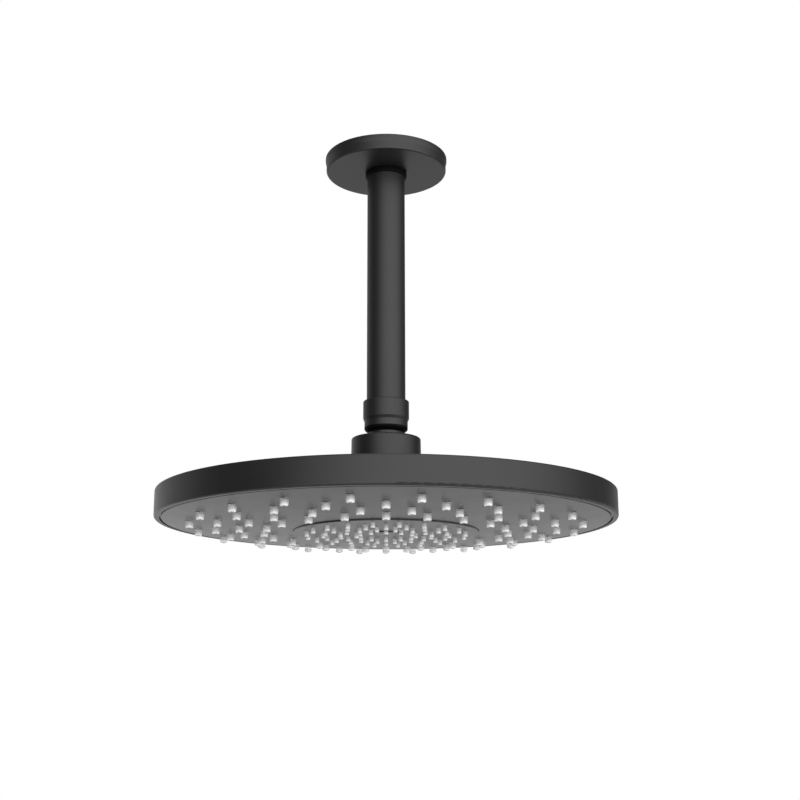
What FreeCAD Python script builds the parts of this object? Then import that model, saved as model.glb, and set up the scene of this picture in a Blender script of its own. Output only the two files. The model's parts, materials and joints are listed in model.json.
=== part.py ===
import FreeCAD, Part
import math
import os

# Ceiling-mounted rainfall shower: a straight drop arm with a ball-jointed round head.
# Millimetres, +Z up. The origin is on the arm's axis in the ceiling plane.
# Heights named *_height or *_level in the head are measured from the head's lower face plane.

# ---------------------------------------------------------------- overall
ceiling_to_face = 217.0
head_radius = 127.0
pipe_radius = 11.0
flange_radius = 35.3

# ---------------------------------------------------------------- clearances and tolerances
same_point = 1e-6
fit_gap = 0.05
loose_gap = 0.2
joint_gap = 0.2

# ---------------------------------------------------------------- ceiling flange
flange_height = 9.0
flange_wall = 1.8
flange_lip_step = 0.55
flange_lip_height = 2.4
flange_lip_slope = 1.6
flange_lip_round = 1.2
flange_edge_round = 1.0
flange_hub_wall = 1.8
flange_hub_height = 6.0
gasket_width = 4.0
gasket_height = 3.0
flange_ring_height = 3.2
flange_ring_section = 1.12
flange_ring_round = 0.9

# ---------------------------------------------------------------- drop pipe and its nipples
pipe_wall = 1.2
thread_radius = 20.955 / 2
nipple_bore_radius = 7.0
nipple_insert_length = 14.0
inlet_thread_length = 11.5
outlet_thread_length = 7.5
thread_chamfer = 0.8

# ---------------------------------------------------------------- swivel nut and guard ring
nut_grip_radius = 13.0
nut_grip_height = 10.0
nut_skirt_radius = 12.24
nut_skirt_height = 5.2
nut_edge_round = 0.7
nut_step_slope = 1.8
nut_step_round = 0.7
guard_ring_height = 3.1
guard_ring_side_height = 1.3
guard_ring_round = 1.2

# ---------------------------------------------------------------- ball stud
ball_radius = 13.0
neck_angle = 37.0
neck_rise = 1.0
collar_radius = 10.0
collar_height = 1.3
stud_thread_radius = 9.0
stud_thread_length = 8.8
stud_bore_radius = 5.0
stud_foot_width = 0.5
restrictor_radius = 7.0
restrictor_height = 3.2
restrictor_wall = 1.0
restrictor_hole_radius = 0.9
restrictor_hole_count = 6
restrictor_core_radius = 2.2
washer_thickness = 2.0
screen_radius = 6.6
screen_thickness = 0.4
screen_hole_radius = 0.55
screen_hole_rings = ((2.2, 6), (4.4, 12))

# ---------------------------------------------------------------- ball socket
pivot_height = 38.0
liner_thickness = 1.0
liner_top_angle = 55.0
liner_bottom_angle = 108.0
liner_travel_angle = 121.0
seat_wall = 2.0
seat_opening_radius = 8.6
seal_angle = 130.0
seal_radius = 1.4
lip_angle = 60.0
lip_rise = 2.3
lip_flare = 2.47
ring_thread_step = 0.6
ring_height = 5.6
ring_slot_width = 2.4
ring_slot_depth = 1.6
seat_floor_rise = 0.8

# ---------------------------------------------------------------- head shell
rim_height = 14.7
rim_wall = 2.0
rim_top_round = 0.8
rim_bottom_round = 1.3
bezel_width = 3.0
bezel_height = 6.5
back_wall = 2.0
back_height = 25.0
boss_wall = 2.3
boss_draft = 0.2
boss_top_round = 1.0
boss_blend = 6.0
hub_wall = 4.6
hub_bottom_height = 14.5
stop_rib_count = 6
stop_rib_length = 7.0
stop_rib_width = 3.0
stop_rib_gap = 0.1

# ---------------------------------------------------------------- spray face
groove_width = 1.0
groove_depth = 1.0
dome_radius = 1300.0
plate_thickness = 2.0
plate_rim_width = 7.0
plate_rim_height = 5.0
plate_edge_round = 0.5
disc_radius = 51.0
disc_gap = 0.3
disc_step = 0.7
disc_flange_width = 3.0
disc_flange_thickness = 0.9
disc_edge_round = 0.6
mat_thickness = 1.2

# ---------------------------------------------------------------- silicone nozzles
outer_ring_count = 4
outer_nozzles_per_ring = 20
outer_edge_margin = 15.3
outer_disc_margin = 16.4
outer_nozzle_root_radius = 2.25
outer_nozzle_tip_radius = 2.1
outer_nozzle_length = 3.7
outer_nozzle_bore_radius = 1.2
outer_jet_radius = 0.95
inner_nozzles_per_ring = (20, 20, 16, 12)
inner_edge_margin = 7.0
inner_cap_margin = 8.8
inner_nozzle_root_radius = 1.35
inner_nozzle_tip_radius = 1.2
inner_nozzle_length = 3.0
inner_nozzle_bore_radius = 0.75
inner_jet_radius = 0.45
nozzle_tip_wall = 1.0
nozzle_tip_chamfer = 0.25
nozzle_hole_gap = 0.1

# ---------------------------------------------------------------- chamber cover, centre screw and cap
chamber_depth = 4.0
cover_thickness = 2.0
cover_wall = 3.0
spigot_radius = 9.2
spigot_bore_radius = 6.5
spigot_top_gap = 2.8
spigot_seal_radius = 0.9
spigot_seal_drop = 4.0
post_radius = 4.0
post_rise = 10.0
post_rib_count = 3
post_rib_width = 1.6
cover_screw_count = 12
cover_screw_radius = 1.25
cover_screw_head_radius = 2.4
cover_screw_head_height = 1.2
cover_screw_bite = 3.4
cap_radius = 7.5
cap_protrusion = 0.6
cap_recess = 1.5
cap_wall = 1.0
cap_face_thickness = 0.8
cap_edge_round = 0.5
centre_screw_radius = 2.0
centre_screw_head_radius = 4.4
centre_screw_head_height = 1.1
centre_screw_length = 11.0
socket_key_radius = 1.2

# ---------------------------------------------------------------- derived: ball socket, bottom to top
liner_inner_radius = ball_radius + joint_gap
liner_outer_radius = liner_inner_radius + liner_thickness
socket_sphere_radius = liner_outer_radius + joint_gap
seat_radius = socket_sphere_radius + seat_wall
pocket_radius = seat_radius + loose_gap
ring_bore_radius = pocket_radius + ring_thread_step
boss_radius = ring_bore_radius + boss_wall
boss_base_radius = boss_radius + boss_draft
pocket_floor_height = pivot_height - ball_radius + seat_floor_rise
boss_top_height = pivot_height + socket_sphere_radius * math.cos(math.radians(lip_angle)) + lip_rise
ring_bottom_height = boss_top_height - ring_height
seat_top_height = ring_bottom_height - 2 * loose_gap
spigot_hole_radius = spigot_radius + loose_gap
spigot_top_height = pocket_floor_height - spigot_top_gap
seal_centre_radius = ball_radius + joint_gap + seal_radius + fit_gap

# ---------------------------------------------------------------- derived: stud, nut and pipe
neck_height = pivot_height + ball_radius * math.cos(math.radians(neck_angle))
collar_bottom_height = neck_height + neck_rise
collar_top_height = collar_bottom_height + collar_height
nut_bottom_height = collar_top_height + guard_ring_height
nut_step_height = nut_bottom_height + nut_skirt_height
nut_top_height = nut_step_height + nut_grip_height
stud_top_height = collar_top_height + stud_thread_length
outlet_bottom_height = nut_top_height - outlet_thread_length
pipe_inner_radius = pipe_radius - pipe_wall
pipe_length = ceiling_to_face - nut_top_height

# ---------------------------------------------------------------- derived: head
bezel_inner_radius = head_radius - bezel_width
face_radius = bezel_inner_radius - groove_width
groove_floor_radius = bezel_inner_radius - fit_gap
plate_rim_inner_radius = face_radius - plate_rim_width
mat_radius = plate_rim_inner_radius - loose_gap
cover_radius = mat_radius
flange_outer_radius = face_radius - loose_gap
dome_centre = math.sqrt(dome_radius ** 2 - face_radius ** 2)


def dome_level(radius):
    """Height of the domed spray face at a radius: zero at its edge, lower towards the middle."""
    return dome_centre - math.sqrt(dome_radius ** 2 - radius ** 2)


disc_hole_radius = disc_radius + disc_gap
disc_flange_radius = disc_hole_radius + disc_flange_width
inner_top_level = dome_level(disc_flange_radius) + plate_thickness
disc_face_level = dome_level(disc_radius) - disc_step
disc_ledge_level = inner_top_level - disc_flange_thickness
cap_seat_level = disc_face_level + cap_recess
cap_face_level = disc_face_level - cap_protrusion
cover_flange_level = plate_rim_height + cover_thickness
chamber_lift = plate_thickness + mat_thickness
post_bottom_level = inner_top_level + mat_thickness
cover_screw_circle = (plate_rim_inner_radius + face_radius) / 2
cover_screw_tip_level = plate_rim_height - cover_screw_bite
centre_screw_tip_level = cap_seat_level + centre_screw_length


# ---------------------------------------------------------------- drawing helpers
def at(radius, height):
    return FreeCAD.Vector(radius, 0, height)


def corner_inset(radius):
    """How far the middle of a quarter-circle round lies inside its square corner, along each side."""
    return radius * (1 - math.sqrt(0.5))


def turned(start, *steps):
    """Solid of revolution about Z. A step is an end point, or (through point, end point) for an arc."""
    edges = []
    here = start
    for step in steps:
        if isinstance(step[0], tuple):
            through, end = step
            edges.append(Part.Arc(at(*here), at(*through), at(*end)).toShape())
        else:
            end = step
            edges.append(Part.LineSegment(at(*here), at(*end)).toShape())
        here = end
    if at(*here).distanceToPoint(at(*start)) > same_point:
        edges.append(Part.LineSegment(at(*here), at(*start)).toShape())
    profile = Part.Face(Part.Wire(edges))
    return profile.revolve(FreeCAD.Vector(0, 0, 0), FreeCAD.Vector(0, 0, 1), 360)


def cylinder(radius, low, high, x=0.0, y=0.0):
    return Part.makeCylinder(radius, high - low, FreeCAD.Vector(x, y, low))


def ring(inner, outer, low, high):
    return cylinder(outer, low, high).cut(cylinder(inner, low, high))


def on_sphere(radius, angle):
    """Point at a polar angle on a sphere round the pivot, as (radius from the axis, height)."""
    turn = math.radians(angle)
    return radius * math.sin(turn), pivot_height + radius * math.cos(turn)


def sphere_arc(radius, angle_from, angle_to):
    return on_sphere(radius, (angle_from + angle_to) / 2), on_sphere(radius, angle_to)


def rounded(solid, size, *circles):
    """Rounds the circular edges that lie at the given (radius, height) pairs."""
    chosen = []
    for edge in solid.Edges:
        if not isinstance(edge.Curve, Part.Circle):
            continue
        for radius, height in circles:
            same_radius = abs(edge.Curve.Radius - radius) < fit_gap
            same_height = abs(edge.Curve.Center.z - height) < fit_gap
            if same_radius and same_height:
                chosen.append(edge)
    return solid.makeFillet(size, chosen)


def dome_ball(lift):
    """Ball whose lower surface is the spray face's dome, raised by a lift."""
    return Part.makeSphere(dome_radius, FreeCAD.Vector(0, 0, dome_centre + lift))


def dome_layer(inner, outer, low_lift, high_lift):
    """Annular layer that follows the dome, between two lifts above the spray face."""
    blank = ring(inner, outer, dome_level(0) + low_lift, dome_level(outer) + high_lift + loose_gap)
    return blank.common(dome_ball(low_lift)).cut(dome_ball(high_lift))


def ring_points(radius, count, shifted):
    """Evenly spaced points on a ring; the first lies on -Y, or half a step on if it is shifted."""
    offset = 0.5 if shifted else 0.0
    points = []
    for index in range(count):
        angle = math.radians(-90 + (index + offset) * 360 / count)
        points.append((radius * math.cos(angle), radius * math.sin(angle)))
    return points


def spread(outermost, innermost, count):
    step = (outermost - innermost) / (count - 1)
    return [outermost - step * index for index in range(count)]


def outer_nozzle_points():
    points = []
    radii = spread(face_radius - outer_edge_margin, disc_radius + outer_disc_margin, outer_ring_count)
    for index, radius in enumerate(radii):
        points += ring_points(radius, outer_nozzles_per_ring, index % 2 == 0)
    return points


def inner_nozzle_points():
    points = []
    ring_total = len(inner_nozzles_per_ring)
    radii = spread(disc_radius - inner_edge_margin, cap_radius + inner_cap_margin, ring_total)
    for index, radius in enumerate(radii):
        points += ring_points(radius, inner_nozzles_per_ring[index], index % 2 == 0)
    return points


def save(shape, name, lift=0.0):
    """Writes one sub-part. Lift moves a piece drawn from the face plane to its place."""
    placed = shape.copy()
    placed.translate(FreeCAD.Vector(0, 0, lift))
    placed.exportStep("parts/" + name + ".step")


# ---------------------------------------------------------------- ceiling end, from the ceiling plane
def ceiling_flange():
    bottom = -flange_height
    lip_radius = flange_radius + flange_lip_step
    lip_low = -flange_lip_height
    slope_low = lip_low - flange_lip_slope
    inner = flange_radius - flange_wall
    hole = pipe_radius + loose_gap
    hub = hole + flange_hub_wall
    floor = bottom + flange_wall
    body = turned(
        (hole, bottom),
        (flange_radius, bottom),
        (flange_radius, slope_low),
        (lip_radius, lip_low),
        (lip_radius, 0),
        (inner, 0),
        (inner, floor),
        (hub, floor),
        (hub, bottom + flange_hub_height),
        (hole, bottom + flange_hub_height),
    )
    body = rounded(body, flange_edge_round, (flange_radius, bottom), (lip_radius, 0))
    return rounded(body, flange_lip_round, (flange_radius, slope_low), (lip_radius, lip_low))


def flange_gasket():
    outer = flange_radius - flange_wall - loose_gap
    return ring(outer - gasket_width, outer, -gasket_height, 0)


def flange_o_ring():
    top = -flange_height
    outer = pipe_radius + fit_gap + flange_ring_section
    low = top - flange_ring_height
    body = ring(pipe_radius + fit_gap, outer, low, top)
    return rounded(body, flange_ring_round, (outer, low), (outer, top))


def drop_pipe():
    return ring(pipe_inner_radius, pipe_radius, -pipe_length, 0)


def inlet_nipple():
    insert = pipe_inner_radius - fit_gap
    top = inlet_thread_length
    return turned(
        (nipple_bore_radius, -nipple_insert_length),
        (insert, -nipple_insert_length),
        (insert, 0),
        (thread_radius, 0),
        (thread_radius, top - thread_chamfer),
        (thread_radius - thread_chamfer, top),
        (nipple_bore_radius, top),
    )


# ---------------------------------------------------------------- lower end of the arm
def outlet_nipple():
    insert = pipe_inner_radius - fit_gap
    top = nut_top_height + nipple_insert_length
    bottom = outlet_bottom_height
    return turned(
        (nipple_bore_radius, bottom),
        (thread_radius - thread_chamfer, bottom),
        (thread_radius, bottom + thread_chamfer),
        (thread_radius, nut_top_height),
        (insert, nut_top_height),
        (insert, top),
        (nipple_bore_radius, top),
    )


def swivel_nut():
    stud_hole = stud_thread_radius + fit_gap
    pipe_hole = thread_radius + fit_gap
    slope_low = nut_step_height - nut_step_slope
    body = turned(
        (stud_hole, nut_bottom_height),
        (nut_skirt_radius, nut_bottom_height),
        (nut_skirt_radius, slope_low),
        (nut_grip_radius, nut_step_height),
        (nut_grip_radius, nut_top_height),
        (pipe_hole, nut_top_height),
        (pipe_hole, stud_top_height),
        (stud_hole, stud_top_height),
    )
    body = rounded(body, nut_edge_round, (nut_grip_radius, nut_top_height))
    step_ends = ((nut_grip_radius, nut_step_height), (nut_skirt_radius, slope_low))
    return rounded(body, nut_step_round, *step_ends)


def guard_ring():
    hole = stud_thread_radius + fit_gap
    side_bottom = nut_bottom_height - guard_ring_side_height
    body = turned(
        (hole, collar_top_height),
        (collar_radius, collar_top_height),
        (nut_skirt_radius, side_bottom),
        (nut_skirt_radius, nut_bottom_height),
        (hole, nut_bottom_height),
    )
    return rounded(body, guard_ring_round, (nut_skirt_radius, side_bottom))


def sealing_washer():
    outer = thread_radius - loose_gap
    return ring(screen_radius + fit_gap, outer, stud_top_height, stud_top_height + washer_thickness)


def filter_screen():
    middle = stud_top_height + washer_thickness / 2
    low = middle - screen_thickness / 2
    high = middle + screen_thickness / 2
    holes = [cylinder(screen_hole_radius, low, high)]
    for radius, count in screen_hole_rings:
        for x, y in ring_points(radius, count, False):
            holes.append(cylinder(screen_hole_radius, low, high, x, y))
    return cylinder(screen_radius, low, high).cut(Part.Compound(holes))


def flow_restrictor():
    top = stud_top_height
    low = top - restrictor_height
    body = cylinder(restrictor_radius, low, top)
    cup = cylinder(restrictor_radius - restrictor_wall, low + restrictor_wall, top)
    core = cylinder(restrictor_core_radius, low, top - restrictor_wall)
    body = body.cut(cup).fuse(core).removeSplitter()
    hole_circle = (restrictor_core_radius + stud_bore_radius) / 2
    holes = []
    for x, y in ring_points(hole_circle, restrictor_hole_count, False):
        holes.append(cylinder(restrictor_hole_radius, low, top, x, y))
    return body.cut(Part.Compound(holes))


def ball_stud():
    bottom_angle = 180 - math.degrees(math.asin((stud_bore_radius + stud_foot_width) / ball_radius))
    foot_radius, foot_height = on_sphere(ball_radius, bottom_angle)
    pocket = restrictor_radius + fit_gap
    pocket_floor = stud_top_height - restrictor_height
    return turned(
        (stud_bore_radius, foot_height),
        (foot_radius, foot_height),
        sphere_arc(ball_radius, bottom_angle, neck_angle),
        (collar_radius, collar_bottom_height),
        (collar_radius, collar_top_height),
        (stud_thread_radius, collar_top_height),
        (stud_thread_radius, stud_top_height),
        (pocket, stud_top_height),
        (pocket, pocket_floor),
        (stud_bore_radius, pocket_floor),
    )


# ---------------------------------------------------------------- ball socket, rings round the pivot
def ball_liner():
    return turned(
        on_sphere(liner_inner_radius, liner_top_angle),
        on_sphere(liner_outer_radius, liner_top_angle),
        sphere_arc(liner_outer_radius, liner_top_angle, liner_bottom_angle),
        on_sphere(liner_inner_radius, liner_bottom_angle),
        sphere_arc(liner_inner_radius, liner_bottom_angle, liner_top_angle),
    )


def seal_torus(section):
    radius, height = on_sphere(seal_centre_radius, seal_angle)
    return Part.makeTorus(radius, section, FreeCAD.Vector(0, 0, height))


def ball_seat():
    top_angle = math.degrees(math.acos((seat_top_height - pivot_height) / socket_sphere_radius))
    lower_sphere = ball_radius + joint_gap
    opening_angle = 180 - math.degrees(math.asin(seat_opening_radius / lower_sphere))
    floor = pocket_floor_height + loose_gap
    body = turned(
        on_sphere(socket_sphere_radius, top_angle),
        sphere_arc(socket_sphere_radius, top_angle, liner_travel_angle),
        on_sphere(lower_sphere, liner_travel_angle),
        sphere_arc(lower_sphere, liner_travel_angle, opening_angle),
        (seat_opening_radius, floor),
        (seat_radius, floor),
        (seat_radius, seat_top_height),
    )
    return body.cut(seal_torus(seal_radius + fit_gap))


def ball_seal():
    return seal_torus(seal_radius)


def retaining_ring():
    outer = ring_bore_radius - fit_gap
    lip_radius, lip_height = on_sphere(socket_sphere_radius, lip_angle)
    low_angle = math.degrees(math.acos((ring_bottom_height - pivot_height) / socket_sphere_radius))
    body = turned(
        (outer, ring_bottom_height),
        (outer, boss_top_height),
        (lip_radius + lip_flare, boss_top_height),
        (lip_radius, lip_height),
        sphere_arc(socket_sphere_radius, lip_angle, low_angle),
    )
    slot = Part.makeBox(
        2 * outer,
        ring_slot_width,
        ring_slot_depth,
        FreeCAD.Vector(-outer, -ring_slot_width / 2, boss_top_height - ring_slot_depth),
    )
    return body.cut(slot)


# ---------------------------------------------------------------- head shell
def head_shell():
    rim_inner = head_radius - rim_wall
    blend_radius = boss_base_radius + boss_blend
    back_start_radius = head_radius - rim_top_round
    slope = (back_height - rim_height) / (back_start_radius - blend_radius)
    blend_top = back_height + boss_blend
    bend = corner_inset(boss_blend)
    hub_radius = spigot_hole_radius + hub_wall
    rim_corner = corner_inset(rim_top_round)
    foot_corner = corner_inset(rim_bottom_round)
    skin_at_hub = back_height - back_wall
    skin_at_rim = rim_height - back_wall + slope * rim_wall
    body = turned(
        (bezel_inner_radius, 0),
        (head_radius - rim_bottom_round, 0),
        ((head_radius - foot_corner, foot_corner), (head_radius, rim_bottom_round)),
        (head_radius, rim_height - rim_top_round),
        ((head_radius - rim_corner, rim_height - rim_corner), (back_start_radius, rim_height)),
        (blend_radius, back_height),
        ((boss_base_radius + bend, back_height + bend), (boss_base_radius, blend_top)),
        (boss_radius, boss_top_height),
        (ring_bore_radius, boss_top_height),
        (ring_bore_radius, ring_bottom_height),
        (pocket_radius, ring_bottom_height),
        (pocket_radius, pocket_floor_height),
        (spigot_hole_radius, pocket_floor_height),
        (spigot_hole_radius, hub_bottom_height),
        (hub_radius, hub_bottom_height),
        (hub_radius, skin_at_hub),
        (blend_radius, skin_at_hub),
        (rim_inner, skin_at_rim),
        (rim_inner, bezel_height),
        (bezel_inner_radius, bezel_height),
    )
    body = rounded(body, boss_top_round, (boss_radius, boss_top_height))
    rib_low = cover_flange_level + stop_rib_gap
    rib_outer = rim_inner + rim_wall / 2
    ribs = []
    for index in range(stop_rib_count):
        rib = Part.makeBox(
            stop_rib_length,
            stop_rib_width,
            skin_at_rim + back_wall / 2 - rib_low,
            FreeCAD.Vector(rib_outer - stop_rib_length, -stop_rib_width / 2, rib_low),
        )
        rib.rotate(FreeCAD.Vector(0, 0, 0), FreeCAD.Vector(0, 0, 1), index * 360 / stop_rib_count)
        ribs.append(rib)
    return body.multiFuse(ribs).removeSplitter()


# ---------------------------------------------------------------- spray face
def face_plate():
    body = dome_layer(disc_hole_radius, face_radius, 0, plate_thickness)
    rim_low = dome_level(plate_rim_inner_radius) + plate_thickness / 2
    body = body.fuse(ring(plate_rim_inner_radius, face_radius, rim_low, plate_rim_height))
    body = body.fuse(ring(face_radius - fit_gap, groove_floor_radius, groove_depth, plate_rim_height))
    body = body.cut(cylinder(disc_flange_radius, disc_ledge_level, plate_rim_height)).removeSplitter()
    body = rounded(body, plate_edge_round, (face_radius, 0))
    hole_radius = outer_nozzle_root_radius + nozzle_hole_gap
    holes = []
    for x, y in outer_nozzle_points():
        holes.append(cylinder(hole_radius, dome_level(0), plate_rim_height, x, y))
    for x, y in ring_points(cover_screw_circle, cover_screw_count, True):
        holes.append(cylinder(cover_screw_radius, cover_screw_tip_level, plate_rim_height, x, y))
    return body.cut(Part.Compound(holes)).removeSplitter()


def face_disc():
    body = turned(
        (centre_screw_radius + loose_gap, cap_seat_level),
        (cap_radius + fit_gap, cap_seat_level),
        (cap_radius + fit_gap, disc_face_level),
        (disc_radius, disc_face_level),
        (disc_radius, disc_ledge_level),
        (disc_flange_radius - fit_gap, disc_ledge_level),
        (disc_flange_radius - fit_gap, inner_top_level),
        (centre_screw_radius + loose_gap, inner_top_level),
    )
    body = rounded(body, disc_edge_round, (disc_radius, disc_face_level))
    hole_radius = inner_nozzle_root_radius + nozzle_hole_gap
    holes = []
    for x, y in inner_nozzle_points():
        holes.append(cylinder(hole_radius, disc_face_level, inner_top_level, x, y))
    return body.cut(Part.Compound(holes))


def nozzle(root_level, exit_level, tip_level, root_radius, tip_radius):
    """Solid nozzle: straight through the plate, then tapered from where it leaves the face."""
    chamfer_level = tip_level + nozzle_tip_chamfer
    return turned(
        (0, tip_level),
        (tip_radius - nozzle_tip_chamfer, tip_level),
        (tip_radius, chamfer_level),
        (root_radius, exit_level),
        (root_radius, root_level),
        (0, root_level),
    )


def nozzle_passage(top_level, tip_level, bore_radius, jet_radius):
    jet = cylinder(jet_radius, tip_level, top_level)
    return jet.fuse(cylinder(bore_radius, tip_level + nozzle_tip_wall, top_level))


def nozzle_mat():
    hole = centre_screw_radius + loose_gap
    sheet = ring(hole, disc_flange_radius, inner_top_level, inner_top_level + mat_thickness)
    outer_sheet = dome_layer(disc_flange_radius, mat_radius, plate_thickness, chamber_lift)
    bodies = [outer_sheet]
    passages = []
    for x, y in outer_nozzle_points():
        level = dome_level(math.hypot(x, y))
        root = level + plate_thickness + mat_thickness / 2
        tip = level - outer_nozzle_length
        body = nozzle(root, level, tip, outer_nozzle_root_radius, outer_nozzle_tip_radius)
        passage = nozzle_passage(level + chamber_lift + mat_thickness, tip,
                                 outer_nozzle_bore_radius, outer_jet_radius)
        body.translate(FreeCAD.Vector(x, y, 0))
        passage.translate(FreeCAD.Vector(x, y, 0))
        bodies.append(body)
        passages.append(passage)
    for x, y in inner_nozzle_points():
        root = inner_top_level + mat_thickness / 2
        tip = disc_face_level - inner_nozzle_length
        body = nozzle(root, disc_face_level, tip, inner_nozzle_root_radius, inner_nozzle_tip_radius)
        passage = nozzle_passage(inner_top_level + mat_thickness, tip,
                                 inner_nozzle_bore_radius, inner_jet_radius)
        body.translate(FreeCAD.Vector(x, y, 0))
        passage.translate(FreeCAD.Vector(x, y, 0))
        bodies.append(body)
        passages.append(passage)
    return sheet.multiFuse(bodies).cut(Part.Compound(passages)).removeSplitter()


# ---------------------------------------------------------------- water chamber
def chamber_cover():
    roof = dome_layer(spigot_bore_radius, cover_radius, chamber_lift + chamber_depth,
                      chamber_lift + chamber_depth + cover_thickness)
    wall = dome_layer(cover_radius - cover_wall, cover_radius, chamber_lift,
                      chamber_lift + chamber_depth + cover_thickness)
    flange_inner = cover_radius - cover_wall / 2
    flange = ring(flange_inner, flange_outer_radius, plate_rim_height, cover_flange_level)
    spigot_low = dome_level(spigot_radius) + chamber_lift + chamber_depth
    spigot = ring(spigot_bore_radius, spigot_radius, spigot_low, spigot_top_height)
    post_top = post_bottom_level + post_rise
    body = roof.multiFuse([wall, flange, spigot])
    ribs = []
    for index in range(post_rib_count):
        rib = Part.makeBox(
            spigot_bore_radius + fit_gap,
            post_rib_width,
            post_top - spigot_low,
            FreeCAD.Vector(0, -post_rib_width / 2, spigot_low),
        )
        rib.rotate(FreeCAD.Vector(0, 0, 0), FreeCAD.Vector(0, 0, 1), index * 360 / post_rib_count)
        ribs.append(rib)
    body = body.multiFuse(ribs + [cylinder(post_radius, post_bottom_level, post_top)])
    groove_level = spigot_top_height - spigot_seal_drop
    groove = ring(
        spigot_hole_radius - 2 * spigot_seal_radius - fit_gap,
        spigot_hole_radius,
        groove_level - spigot_seal_radius - fit_gap,
        groove_level + spigot_seal_radius + fit_gap,
    )
    holes = [cylinder(centre_screw_radius, post_bottom_level, centre_screw_tip_level)]
    screw_hole = cover_screw_radius + fit_gap
    for x, y in ring_points(cover_screw_circle, cover_screw_count, True):
        holes.append(cylinder(screw_hole, plate_rim_height, cover_flange_level, x, y))
    return body.cut(groove).cut(Part.Compound(holes)).removeSplitter()


def spigot_seal():
    radius = spigot_hole_radius - spigot_seal_radius - fit_gap / 2
    height = spigot_top_height - spigot_seal_drop
    return Part.makeTorus(radius, spigot_seal_radius, FreeCAD.Vector(0, 0, height))


def cover_screws():
    top = cover_flange_level + cover_screw_head_height
    screws = []
    for x, y in ring_points(cover_screw_circle, cover_screw_count, True):
        shank = cylinder(cover_screw_radius, cover_screw_tip_level, top, x, y)
        head = cylinder(cover_screw_head_radius, cover_flange_level, top, x, y)
        key = cylinder(socket_key_radius, top - cover_screw_head_height / 2, top, x, y)
        screws.append(shank.fuse(head).removeSplitter().cut(key))
    return Part.Compound(screws)


def centre_screw():
    head_low = cap_seat_level - centre_screw_head_height
    head = cylinder(centre_screw_head_radius, head_low, cap_seat_level)
    shank = cylinder(centre_screw_radius, head_low, centre_screw_tip_level)
    body = head.fuse(shank).removeSplitter()
    return body.cut(cylinder(socket_key_radius, head_low, head_low + centre_screw_head_height / 2))


def centre_cap():
    inner = cap_radius - cap_wall
    body = turned(
        (0, cap_face_level),
        (cap_radius, cap_face_level),
        (cap_radius, cap_seat_level),
        (inner, cap_seat_level),
        (inner, cap_face_level + cap_face_thickness),
        (0, cap_face_level + cap_face_thickness),
    )
    return rounded(body, cap_edge_round, (cap_radius, cap_face_level))


ceiling_pieces = (
    ceiling_flange,
    flange_gasket,
    flange_o_ring,
    drop_pipe,
    inlet_nipple,
)
head_end_pieces = (
    outlet_nipple,
    swivel_nut,
    guard_ring,
    sealing_washer,
    filter_screen,
    flow_restrictor,
    ball_stud,
    ball_liner,
    ball_seat,
    ball_seal,
    retaining_ring,
    head_shell,
    face_plate,
    face_disc,
    nozzle_mat,
    chamber_cover,
    spigot_seal,
    cover_screws,
    centre_screw,
    centre_cap,
)

os.makedirs("parts", exist_ok=True)
for make in ceiling_pieces:
    save(make(), make.__name__)
for make in head_end_pieces:
    save(make(), make.__name__, -ceiling_to_face)
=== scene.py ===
import bpy
import bmesh
import json
import math
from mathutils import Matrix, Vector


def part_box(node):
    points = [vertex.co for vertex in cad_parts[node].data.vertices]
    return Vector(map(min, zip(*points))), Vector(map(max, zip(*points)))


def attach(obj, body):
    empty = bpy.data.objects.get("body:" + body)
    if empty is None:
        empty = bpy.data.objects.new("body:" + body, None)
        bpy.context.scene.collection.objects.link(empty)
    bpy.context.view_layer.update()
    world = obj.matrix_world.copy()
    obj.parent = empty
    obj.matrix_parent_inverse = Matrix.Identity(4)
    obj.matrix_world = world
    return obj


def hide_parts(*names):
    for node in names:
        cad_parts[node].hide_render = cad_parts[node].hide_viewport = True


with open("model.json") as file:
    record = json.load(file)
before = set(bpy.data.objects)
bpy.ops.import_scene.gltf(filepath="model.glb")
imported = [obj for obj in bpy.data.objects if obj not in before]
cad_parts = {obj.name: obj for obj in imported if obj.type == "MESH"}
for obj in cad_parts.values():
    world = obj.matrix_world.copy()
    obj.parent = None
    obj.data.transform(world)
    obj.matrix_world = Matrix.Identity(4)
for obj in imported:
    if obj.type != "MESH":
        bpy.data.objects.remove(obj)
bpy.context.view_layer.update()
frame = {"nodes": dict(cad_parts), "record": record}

# ---------------------------------------------------------------- sizes, in metres
MM = 0.001
FACE_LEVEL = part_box("head_shell")[0].z
HEAD_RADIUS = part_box("head_shell")[1].x
PIPE_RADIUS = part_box("drop_pipe")[1].x
FIT_GAP = 0.05 * MM

# inlet nipple: a G1/2 pipe thread
INLET = frame["record"]["mounts"][0]["dims"]
THREAD_RADIUS = INLET["r_mm"] * MM
INCH = 25.4 * MM
TURNS_PER_INCH = 14
THREAD_PITCH = INCH / TURNS_PER_INCH
THREAD_DEPTH = 1.162 * MM
THREAD_RUN_IN = 0.9 * MM
NIPPLE_BORE = 7.0 * MM
PIPE_WALL = 1.2 * MM
MOUTH_CHAMFER = 0.6 * MM

# spray face
DOME_RADIUS = 1300 * MM
RIM_AND_GROOVE = 4.0 * MM
FACE_RADIUS = HEAD_RADIUS - RIM_AND_GROOVE
DISC_FLANGE = 3.3 * MM
DISC_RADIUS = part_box("face_disc")[1].x + FIT_GAP - DISC_FLANGE
DISC_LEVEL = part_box("face_disc")[0].z
PLATE_THICKNESS = 2.0 * MM
MAT_THICKNESS = 1.2 * MM
MAT_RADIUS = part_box("nozzle_mat")[1].x
MAT_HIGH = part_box("nozzle_mat")[1].z
MAT_HOLE_RADIUS = 2.3 * MM
CAP_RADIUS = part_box("centre_cap")[1].x

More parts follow.
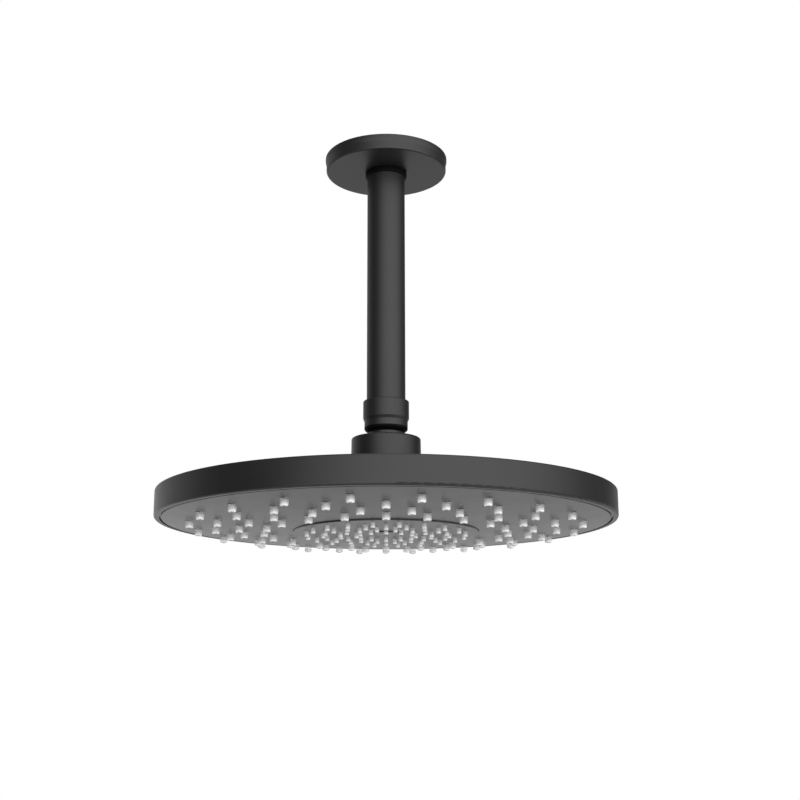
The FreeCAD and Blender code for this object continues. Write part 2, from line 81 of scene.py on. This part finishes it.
# nozzles: four rings in the plate and four in the disc, each counted from the outside
OUTER_RING_COUNTS = (20, 20, 20, 20)
INNER_RING_COUNTS = (20, 20, 16, 12)
OUTER_EDGE_MARGIN = 15.3 * MM
OUTER_DISC_MARGIN = 16.4 * MM
INNER_EDGE_MARGIN = 7.0 * MM
INNER_CAP_MARGIN = 8.8 * MM
OUTER_RINGS = (FACE_RADIUS - OUTER_EDGE_MARGIN, DISC_RADIUS + OUTER_DISC_MARGIN)
INNER_RINGS = (DISC_RADIUS - INNER_EDGE_MARGIN, CAP_RADIUS + INNER_CAP_MARGIN)
# root and tip are outside radii, bore and jet are inside ones, and round is the tip's edge
OUTER_NOZZLE = {"root": 2.25 * MM, "tip": 2.1 * MM, "bore": 1.2 * MM, "jet": 0.95 * MM,
                "length": 3.7 * MM, "round": 0.55 * MM, "segments": 40}
INNER_NOZZLE = {"root": 1.35 * MM, "tip": 1.2 * MM, "bore": 0.75 * MM, "jet": 0.45 * MM,
                "length": 3.0 * MM, "round": 0.35 * MM, "segments": 28}
TIP_WALL = 1.0 * MM
MOUTH_FLARE = 0.25 * MM
COLLAR_GAP = 0.01 * MM

# how milky a nozzle looks: nearly clear at the plate and milky at the tip. Below the least tone
# it is painted solid black as shade, in its collar in the plate and in the inside of its mouth.
TONE = "tone"
COLLAR_PAINTED_SHADE = 0.0
LEAST_TONE = 0.05
AT_PLATE = 0.12
SIDE_TONES = ((0.3, 0.2), (0.6, 0.42), (0.85, 0.8))
AT_TIP = 1.0
MOUTH_PAINTED_SHADE = 0.0

# how finely the round pieces are divided, and the angle from which their edges are shaded sharp
THREAD_SEGMENTS = 128
THREAD_ROWS_PER_TURN = 20
SHEET_SEGMENTS = 160
SHEET_STEPS = 16
TIP_STEPS = 6
FLARE_STEPS = 4
SHARP_ANGLE = math.radians(35)

# studio floor
FLOOR_RADIUS = 1.6
FLOOR_LEVEL = -1.25
FLOOR_SEGMENTS = 96

# ---------------------------------------------------------------- camera, in front and below, looking up
VIEW_DISTANCE = 0.69245
VIEW_BELOW_FACE = 0.09537
VIEW_PITCH = math.radians(13.434)
LENS = 56.475
SENSOR = 36.0
AXIS_SHIFT = 0.01738
CLIP_START = 0.01
CLIP_END = 50.0


def make_camera():
    data = bpy.data.cameras.new("camera")
    data.lens = LENS
    data.sensor_width = SENSOR
    data.shift_x = AXIS_SHIFT
    data.clip_start = CLIP_START
    data.clip_end = CLIP_END
    camera = bpy.data.objects.new("camera", data)
    bpy.context.scene.collection.objects.link(camera)
    camera.location = (0, -VIEW_DISTANCE, FACE_LEVEL - VIEW_BELOW_FACE)
    camera.rotation_euler = (math.pi / 2 + VIEW_PITCH, 0, 0)
    bpy.context.scene.camera = camera


# ---------------------------------------------------------------- material building
BLACK = (0.0115, 0.0115, 0.012)

# noise lies mostly between these two values, and a speck is this share of a grain's scale
NOISE_LOW = 0.3
NOISE_HIGH = 0.7
SPECK_SHARE = 0.35
CLOUD_SCALE = 60

# socket numbers of a Mix node that mixes colours
MIX_FIRST = 6
MIX_SECOND = 7
MIX_RESULT = 2


def math_node(tree, operation, first, second):
    """Adds a Math node; each operand is a number or an output socket."""
    node = tree.nodes.new("ShaderNodeMath")
    node.operation = operation
    for socket, value in zip(node.inputs, (first, second)):
        if isinstance(value, (int, float)):
            socket.default_value = value
        else:
            tree.links.new(value, socket)
    return node.outputs["Value"]


class Material:
    """A node material with one Principled shader and object coordinates, built up call by call."""

    def __init__(self, name):
        self.material = bpy.data.materials.new(name)
        self.material.use_nodes = True
        self.nodes = self.material.node_tree.nodes
        self.links = self.material.node_tree.links
        self.shader = self.nodes["Principled BSDF"]
        self.place = self.nodes.new("ShaderNodeTexCoord").outputs["Object"]

    def set(self, **values):
        for name, value in values.items():
            self.shader.inputs[name.replace("_", " ")].default_value = value

    def noise(self, scale, detail=3.0, stretch=(1, 1, 1)):
        mapping = self.nodes.new("ShaderNodeMapping")
        mapping.inputs["Scale"].default_value = stretch
        self.links.new(self.place, mapping.inputs["Vector"])
        node = self.nodes.new("ShaderNodeTexNoise")
        node.inputs["Scale"].default_value = scale
        node.inputs["Detail"].default_value = detail
        self.links.new(mapping.outputs["Vector"], node.inputs["Vector"])
        return node.outputs["Fac"]

    def ramp(self, source, low_colour, high_colour):
        node = self.nodes.new("ShaderNodeValToRGB")
        node.color_ramp.elements[0].position = NOISE_LOW
        node.color_ramp.elements[1].position = NOISE_HIGH
        node.color_ramp.elements[0].color = (*low_colour, 1)
        node.color_ramp.elements[1].color = (*high_colour, 1)
        self.links.new(source, node.inputs["Fac"])
        return node.outputs["Color"]

    def spread(self, source, low, high):
        node = self.nodes.new("ShaderNodeMapRange")
        node.inputs["From Min"].default_value = NOISE_LOW
        node.inputs["From Max"].default_value = NOISE_HIGH
        node.inputs["To Min"].default_value = low
        node.inputs["To Max"].default_value = high
        self.links.new(source, node.inputs["Value"])
        return node.outputs["Result"]

    def math(self, operation, first, second):
        return math_node(self.material.node_tree, operation, first, second)

    def colour(self, source):
        self.links.new(source, self.shader.inputs["Base Color"])

    def roughness(self, source):
        self.links.new(source, self.shader.inputs["Roughness"])

    def bump(self, source, depth, strength=0.5):
        node = self.nodes.new("ShaderNodeBump")
        node.inputs["Strength"].default_value = strength
        node.inputs["Distance"].default_value = depth
        self.links.new(source, node.inputs["Height"])
        self.links.new(node.outputs["Normal"], self.shader.inputs["Normal"])


def shade(tone, factor):
    return tuple(channel * factor for channel in tone)


def speckled(name, tone, roughness, grain_scale, grain_depth, contrast=0.12, rough_spread=0.03):
    """A solid finish with fine colour speckle, uneven gloss and a grained surface."""
    m = Material(name)
    speck = m.noise(grain_scale * SPECK_SHARE, detail=4)
    cloud = m.noise(CLOUD_SCALE, detail=2)
    m.colour(m.ramp(speck, shade(tone, 1 - contrast), shade(tone, 1 + contrast)))
    m.roughness(m.spread(cloud, roughness - rough_spread, roughness + rough_spread))
    m.bump(m.noise(grain_scale), grain_depth)
    return m.material


def clear_silicone(name, toned):
    """Milky clear silicone. A toned mesh is as milky as its tone, and painted black as shade below the
    least tone.
    """
    m = Material(name)
    colour = m.ramp(m.noise(400, detail=2), (0.95, 0.96, 0.96), (0.99, 0.99, 0.99))
    if toned:
        tone = m.nodes.new("ShaderNodeAttribute")
        tone.attribute_name = TONE
        # below the least tone the silicone is painted black and opaque: painted shade in the collar and
        # mouth
        unshaded_silicone = m.math("GREATER_THAN", tone.outputs["Fac"], LEAST_TONE)
        mix = m.nodes.new("ShaderNodeMix")
        mix.data_type = "RGBA"
        mix.inputs[MIX_FIRST].default_value = (*BLACK, 1)
        m.links.new(unshaded_silicone, mix.inputs["Factor"])
        m.links.new(colour, mix.inputs[MIX_SECOND])
        colour = mix.outputs[MIX_RESULT]
        painted_shade_mask = m.math("SUBTRACT", 1.0, unshaded_silicone)
        m.links.new(m.math("MAXIMUM", tone.outputs["Fac"], painted_shade_mask), m.shader.inputs["Alpha"])
    m.colour(colour)
    m.roughness(m.spread(m.noise(900, detail=2), low=0.16, high=0.26))
    m.bump(m.noise(1500, detail=2), depth=0.00002, strength=0.3)
    m.set(IOR=1.41, Transmission_Weight=0.03)
    return m.material


def dull_rubber():
    """Plain black rubber with next to no shine."""
    m = Material("black_rubber")
    m.colour(m.ramp(m.noise(700, detail=4), (0.0022, 0.0022, 0.0022), (0.0035, 0.0035, 0.0035)))
    m.roughness(m.spread(m.noise(200, detail=2), low=0.5, high=0.62))
    m.bump(m.noise(1800), depth=0.00003)
    m.set(Specular_IOR_Level=0.06)
    return m.material


def turned_metal(name, tone, roughness):
    """Turned metal: streaks that are short in Z and long round the part."""
    m = Material(name)
    streak = m.noise(900, detail=4, stretch=(0.15, 0.15, 3.0))
    m.colour(m.ramp(streak, shade(tone, 0.85), shade(tone, 1.08)))
    m.roughness(m.spread(m.noise(300), low=roughness - 0.05, high=roughness + 0.08))
    m.bump(streak, depth=0.00003, strength=0.3)
    m.set(Metallic=1.0)
    return m.material


PAINT_SPREAD = 0.012

# each line: name, tone, roughness and, where speckled, grain scale and grain depth in metres
materials = {
    "black_metal": speckled("black_metal", BLACK, 0.40, 2600, 0.00002, rough_spread=PAINT_SPREAD),
    "black_shell": speckled("black_shell", BLACK, 0.36, 2600, 0.00002, rough_spread=PAINT_SPREAD),
    "black_face": speckled("black_face", BLACK, 0.30, 2600, 0.00001, rough_spread=PAINT_SPREAD),
    "black_rubber": dull_rubber(),
    "black_foam": speckled("black_foam", (0.02, 0.02, 0.02), 0.85, 1400, 0.0002, contrast=0.3),
    "black_plastic": speckled("black_plastic", (0.012, 0.012, 0.012), 0.42, 2200, 0.00002),
    "grey_plastic": speckled("grey_plastic", (0.30, 0.30, 0.31), 0.4, 2000, 0.00002),
    "green_plastic": speckled("green_plastic", (0.05, 0.34, 0.10), 0.3, 2000, 0.00002),
    "white_acetal": speckled("white_acetal", (0.80, 0.80, 0.77), 0.28, 2000, 0.00002),
    "brass": turned_metal("brass", (0.72, 0.50, 0.22), 0.28),
    "stainless": turned_metal("stainless", (0.60, 0.60, 0.61), 0.30),
    "clear_silicone": clear_silicone("clear_silicone", toned=False),
    "nozzle_silicone": clear_silicone("nozzle_silicone", toned=True),
}


def dress_cad_nodes():
    """Gives every CAD node the material of its slot."""
    for part in frame["record"]["subparts"]:
        node = frame["nodes"][part["node"]]
        node.data.materials.clear()
        node.data.materials.append(materials[part["material_slot"]])


# ---------------------------------------------------------------- mesh building
def revolve(build, profile, segments, centre=(0, 0), tone_layer=None):
    """Closed ring-shaped skin: the closed (radius, height) profile turned about a vertical axis.

    A radius may be a function of the turn angle, which makes a screw thread. With a tone layer, each
    profile point has its tone as a third value."""
    rows = []
    for radius, height, *tone in profile:
        row = []
        for index in range(segments):
            angle = 2 * math.pi * index / segments
            reach = radius(angle) if callable(radius) else radius
            vertex = build.verts.new((centre[0] + reach * math.cos(angle),
                                      centre[1] + reach * math.sin(angle), height))
            if tone_layer:
                vertex[tone_layer] = tone[0]
            row.append(vertex)
        rows.append(row)
    for low, high in zip(rows, rows[1:] + rows[:1]):
        for index in range(segments):
            after = (index + 1) % segments
            build.faces.new((low[index], low[after], high[after], high[index]))


def arc(centre, size, start, end, steps):
    """Points on a circular arc in the (radius, height) plane; angles in degrees."""
    points = []
    for index in range(steps + 1):
        angle = math.radians(start + (end - start) * index / steps)
        points.append((centre[0] + size * math.cos(angle), centre[1] + size * math.sin(angle)))
    return points


def finish_piece(name, build, body, slot, nodes, material=None):
    """Makes the built mesh a piece that rides on a body, in the slot's material unless one is named."""
    bmesh.ops.recalc_face_normals(build, faces=build.faces)
    mesh = bpy.data.meshes.new(name)
    build.to_mesh(mesh)
    build.free()
    mesh.shade_smooth()
    mesh.set_sharp_from_angle(angle=SHARP_ANGLE)
    mesh.materials.append(materials[material or slot])
    piece = bpy.data.objects.new(name, mesh)
    bpy.context.scene.collection.objects.link(piece)
    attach(piece, body)
    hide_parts(*nodes)


# ---------------------------------------------------------------- inlet nipple with its real thread
def thread_wave(phase):
    """Rounded thread form: 0 on a crest, 1 in a root."""
    return (1 - math.cos(2 * math.pi * phase)) / 2


def inlet_nipple():
    """The tube's brazed insert. Its helical thread starts shallow at the tube and ends in a chamfer."""
    low, high = (corner.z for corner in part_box("inlet_nipple"))
    insert = PIPE_RADIUS - PIPE_WALL - FIT_GAP
    row_count = round(THREAD_ROWS_PER_TURN * high / THREAD_PITCH)
    profile = [(NIPPLE_BORE, low), (insert, low), (insert, 0.0)]
    for index in range(row_count + 1):
        height = high * index / row_count
        run_out = min(1.0, height / THREAD_RUN_IN)
        chamfer = THREAD_RADIUS - max(0.0, height - (high - THREAD_RUN_IN))

        def reach(angle, height=height, run_out=run_out, chamfer=chamfer):
            wave = thread_wave(height / THREAD_PITCH - angle / (2 * math.pi))
            return min(chamfer, THREAD_RADIUS - THREAD_DEPTH * wave * run_out)

        profile.append((reach, height))
    profile.append((NIPPLE_BORE + MOUTH_CHAMFER, high))
    profile.append((NIPPLE_BORE, high - MOUTH_CHAMFER))
    build = bmesh.new()
    revolve(build, profile, THREAD_SEGMENTS)
    finish_piece("threaded_inlet", build, "arm", "brass", ["inlet_nipple"])


# ---------------------------------------------------------------- silicone nozzles
def dome_level(radius):
    """Height of the domed spray face at a radius."""
    centre = math.sqrt(DOME_RADIUS ** 2 - FACE_RADIUS ** 2)
    return FACE_LEVEL + centre - math.sqrt(DOME_RADIUS ** 2 - radius ** 2)


def ring_points(radii, counts):
    """(ring radius, centre) of each nozzle, ring by ring from the outside. The first ring and every
    other one after it are turned by half a step."""
    outermost, innermost = radii
    points = []
    for ring, count in enumerate(counts):
        radius = outermost - (outermost - innermost) * ring / (len(counts) - 1)
        offset = 0.5 if ring % 2 == 0 else 0.0
        for index in range(count):
            angle = math.radians(-90 + (index + offset) * 360 / count)
            points.append((radius, (radius * math.cos(angle), radius * math.sin(angle))))
    return points


def add_nozzle(build, tone_layer, size, centre, exit_level, root_level):
    """One hollow nozzle: a collar in the plate painted black as shade, and below it a tapered tube with a
    rounded tip.
    """
    tip = exit_level - size["length"]
    corner = size["round"]
    jet_top = tip + TIP_WALL
    mouth = size["jet"] + MOUTH_FLARE
    collar_radius = size["root"] + FIT_GAP
    collar = [(collar_radius, root_level), (collar_radius, exit_level), (size["bore"], exit_level),
              (size["bore"], root_level)]
    # the collar is painted black: painted shade in the plate's hole
    revolve(build, [(*point, COLLAR_PAINTED_SHADE) for point in collar], size["segments"], centre, tone_layer)
    root = exit_level - COLLAR_GAP
    side = [(size["root"], root, AT_PLATE)]
    for share, tone in SIDE_TONES:
        radius = size["root"] + (size["tip"] - size["root"]) * share
        side.append((radius, root + (tip + corner - root) * share, tone))
    tip_round = arc((size["tip"] - corner, tip + corner), corner, 0, -90, TIP_STEPS)
    side += [(*point, AT_TIP) for point in tip_round]
    lip, *flare = arc((mouth, tip + MOUTH_FLARE), MOUTH_FLARE, -90, -180, FLARE_STEPS)
    # the inside of the mouth is painted black: painted shade in the jet's opening
    side += [(*lip, AT_TIP)] + [(*point, MOUTH_PAINTED_SHADE) for point in flare]
    inside = [(size["jet"], jet_top), (size["bore"], jet_top + MOUTH_FLARE), (size["bore"], root)]
    side += [(*point, AT_PLATE) for point in inside]
    revolve(build, side, size["segments"], centre, tone_layer)


def add_nozzle_piece(name, placed, size):
    """All nozzles of one size as one moulded piece; placed holds (centre, exit level, root level)."""
    build = bmesh.new()
    tone_layer = build.verts.layers.float.new(TONE)
    for centre, exit_level, root_level in placed:
        add_nozzle(build, tone_layer, size, centre, exit_level, root_level)
    finish_piece(name, build, "head", "clear_silicone", ["nozzle_mat"], "nozzle_silicone")


def nozzles():
    outer = []
    for radius, centre in ring_points(OUTER_RINGS, OUTER_RING_COUNTS):
        level = dome_level(radius)
        outer.append((centre, level, level + PLATE_THICKNESS))
    add_nozzle_piece("outer_nozzles", outer, OUTER_NOZZLE)
    inner_top = dome_level(DISC_RADIUS + DISC_FLANGE) + PLATE_THICKNESS
    inner_centres = [centre for _, centre in ring_points(INNER_RINGS, INNER_RING_COUNTS)]
    inner = [(centre, DISC_LEVEL, inner_top) for centre in inner_centres]
    add_nozzle_piece("inner_nozzles", inner, INNER_NOZZLE)


def mat_sheet():
    """The sheet behind the plate that the nozzles are moulded on."""
    inner = DISC_RADIUS + DISC_FLANGE
    inner_top = dome_level(inner) + PLATE_THICKNESS
    under = [(MAT_HOLE_RADIUS, inner_top), (inner, inner_top)]
    over = [(MAT_HOLE_RADIUS, inner_top + MAT_THICKNESS), (inner, inner_top + MAT_THICKNESS)]
    for index in range(1, SHEET_STEPS + 1):
        radius = inner + (MAT_RADIUS - inner) * index / SHEET_STEPS
        level = dome_level(radius) + PLATE_THICKNESS
        under.append((radius, level))
        over.append((radius, min(MAT_HIGH, level + MAT_THICKNESS)))
    build = bmesh.new()
    revolve(build, under + over[::-1], SHEET_SEGMENTS)
    finish_piece("nozzle_sheet", build, "head", "clear_silicone", ["nozzle_mat"])


# ---------------------------------------------------------------- studio
def make_world():
    """Soft studio surroundings: a wide light in front and a little to the right, and smaller ones behind,
    behind to the left and overhead. The camera itself sees plain white behind the object."""
    world = bpy.data.worlds.new("studio")
    bpy.context.scene.world = world
    world.use_nodes = True
    nodes = world.node_tree.nodes
    links = world.node_tree.links
    direction = nodes.new("ShaderNodeTexCoord").outputs["Generated"]

    def lobe(towards, zero_at, full_at, strength):
        """Light from round a direction: none beyond one angle, all of it within the other; degrees."""
        dot = nodes.new("ShaderNodeVectorMath")
        dot.operation = "DOT_PRODUCT"
        links.new(direction, dot.inputs[0])
        dot.inputs[1].default_value = towards
        spread = nodes.new("ShaderNodeMapRange")
        spread.interpolation_type = "SMOOTHSTEP"
        spread.inputs["From Min"].default_value = math.cos(math.radians(zero_at))
        spread.inputs["From Max"].default_value = math.cos(math.radians(full_at))
        spread.inputs["To Max"].default_value = strength
        links.new(dot.outputs["Value"], spread.inputs["Value"])
        return spread.outputs["Result"]

    def bearing(azimuth, rise=0):
        """Direction by degrees to the right of the camera's side and degrees above level."""
        turn = math.radians(azimuth)
        lift = math.radians(rise)
        return (math.sin(turn) * math.cos(lift), -math.cos(turn) * math.cos(lift), math.sin(lift))

    key = lobe(bearing(27, -8), zero_at=91, full_at=0, strength=1.98)
    back = lobe(bearing(180, -14), zero_at=52, full_at=0, strength=0.57)
    left_edge = lobe(bearing(-132), zero_at=45, full_at=12, strength=0.4)
    overhead = lobe((0, 0, 1), zero_at=35, full_at=5, strength=1.2)
    all_round = 0.1
    light = all_round
    for part in (key, back, left_edge, overhead):
        light = math_node(world.node_tree, "ADD", part, light)
    background = nodes["Background"]
    background.inputs["Color"].default_value = (1, 1, 1, 1)
    seen = nodes.new("ShaderNodeLightPath").outputs["Is Camera Ray"]
    links.new(math_node(world.node_tree, "MAXIMUM", light, seen), background.inputs["Strength"])


def make_floor():
    build = bmesh.new()
    bmesh.ops.create_circle(build, cap_ends=True, segments=FLOOR_SEGMENTS, radius=FLOOR_RADIUS)
    mesh = bpy.data.meshes.new("floor")
    build.to_mesh(mesh)
    build.free()
    floor = bpy.data.objects.new("floor", mesh)
    floor.location = (0, 0, FLOOR_LEVEL)
    bpy.context.scene.collection.objects.link(floor)
    pale = speckled("pale_floor", (0.93, 0.93, 0.93), 0.6, 300, 0.0002, contrast=0.02)
    floor.data.materials.append(pale)


make_camera()
dress_cad_nodes()
inlet_nipple()
nozzles()
mat_sheet()
make_world()
make_floor()
bpy.context.scene.view_settings.view_transform = "Standard"
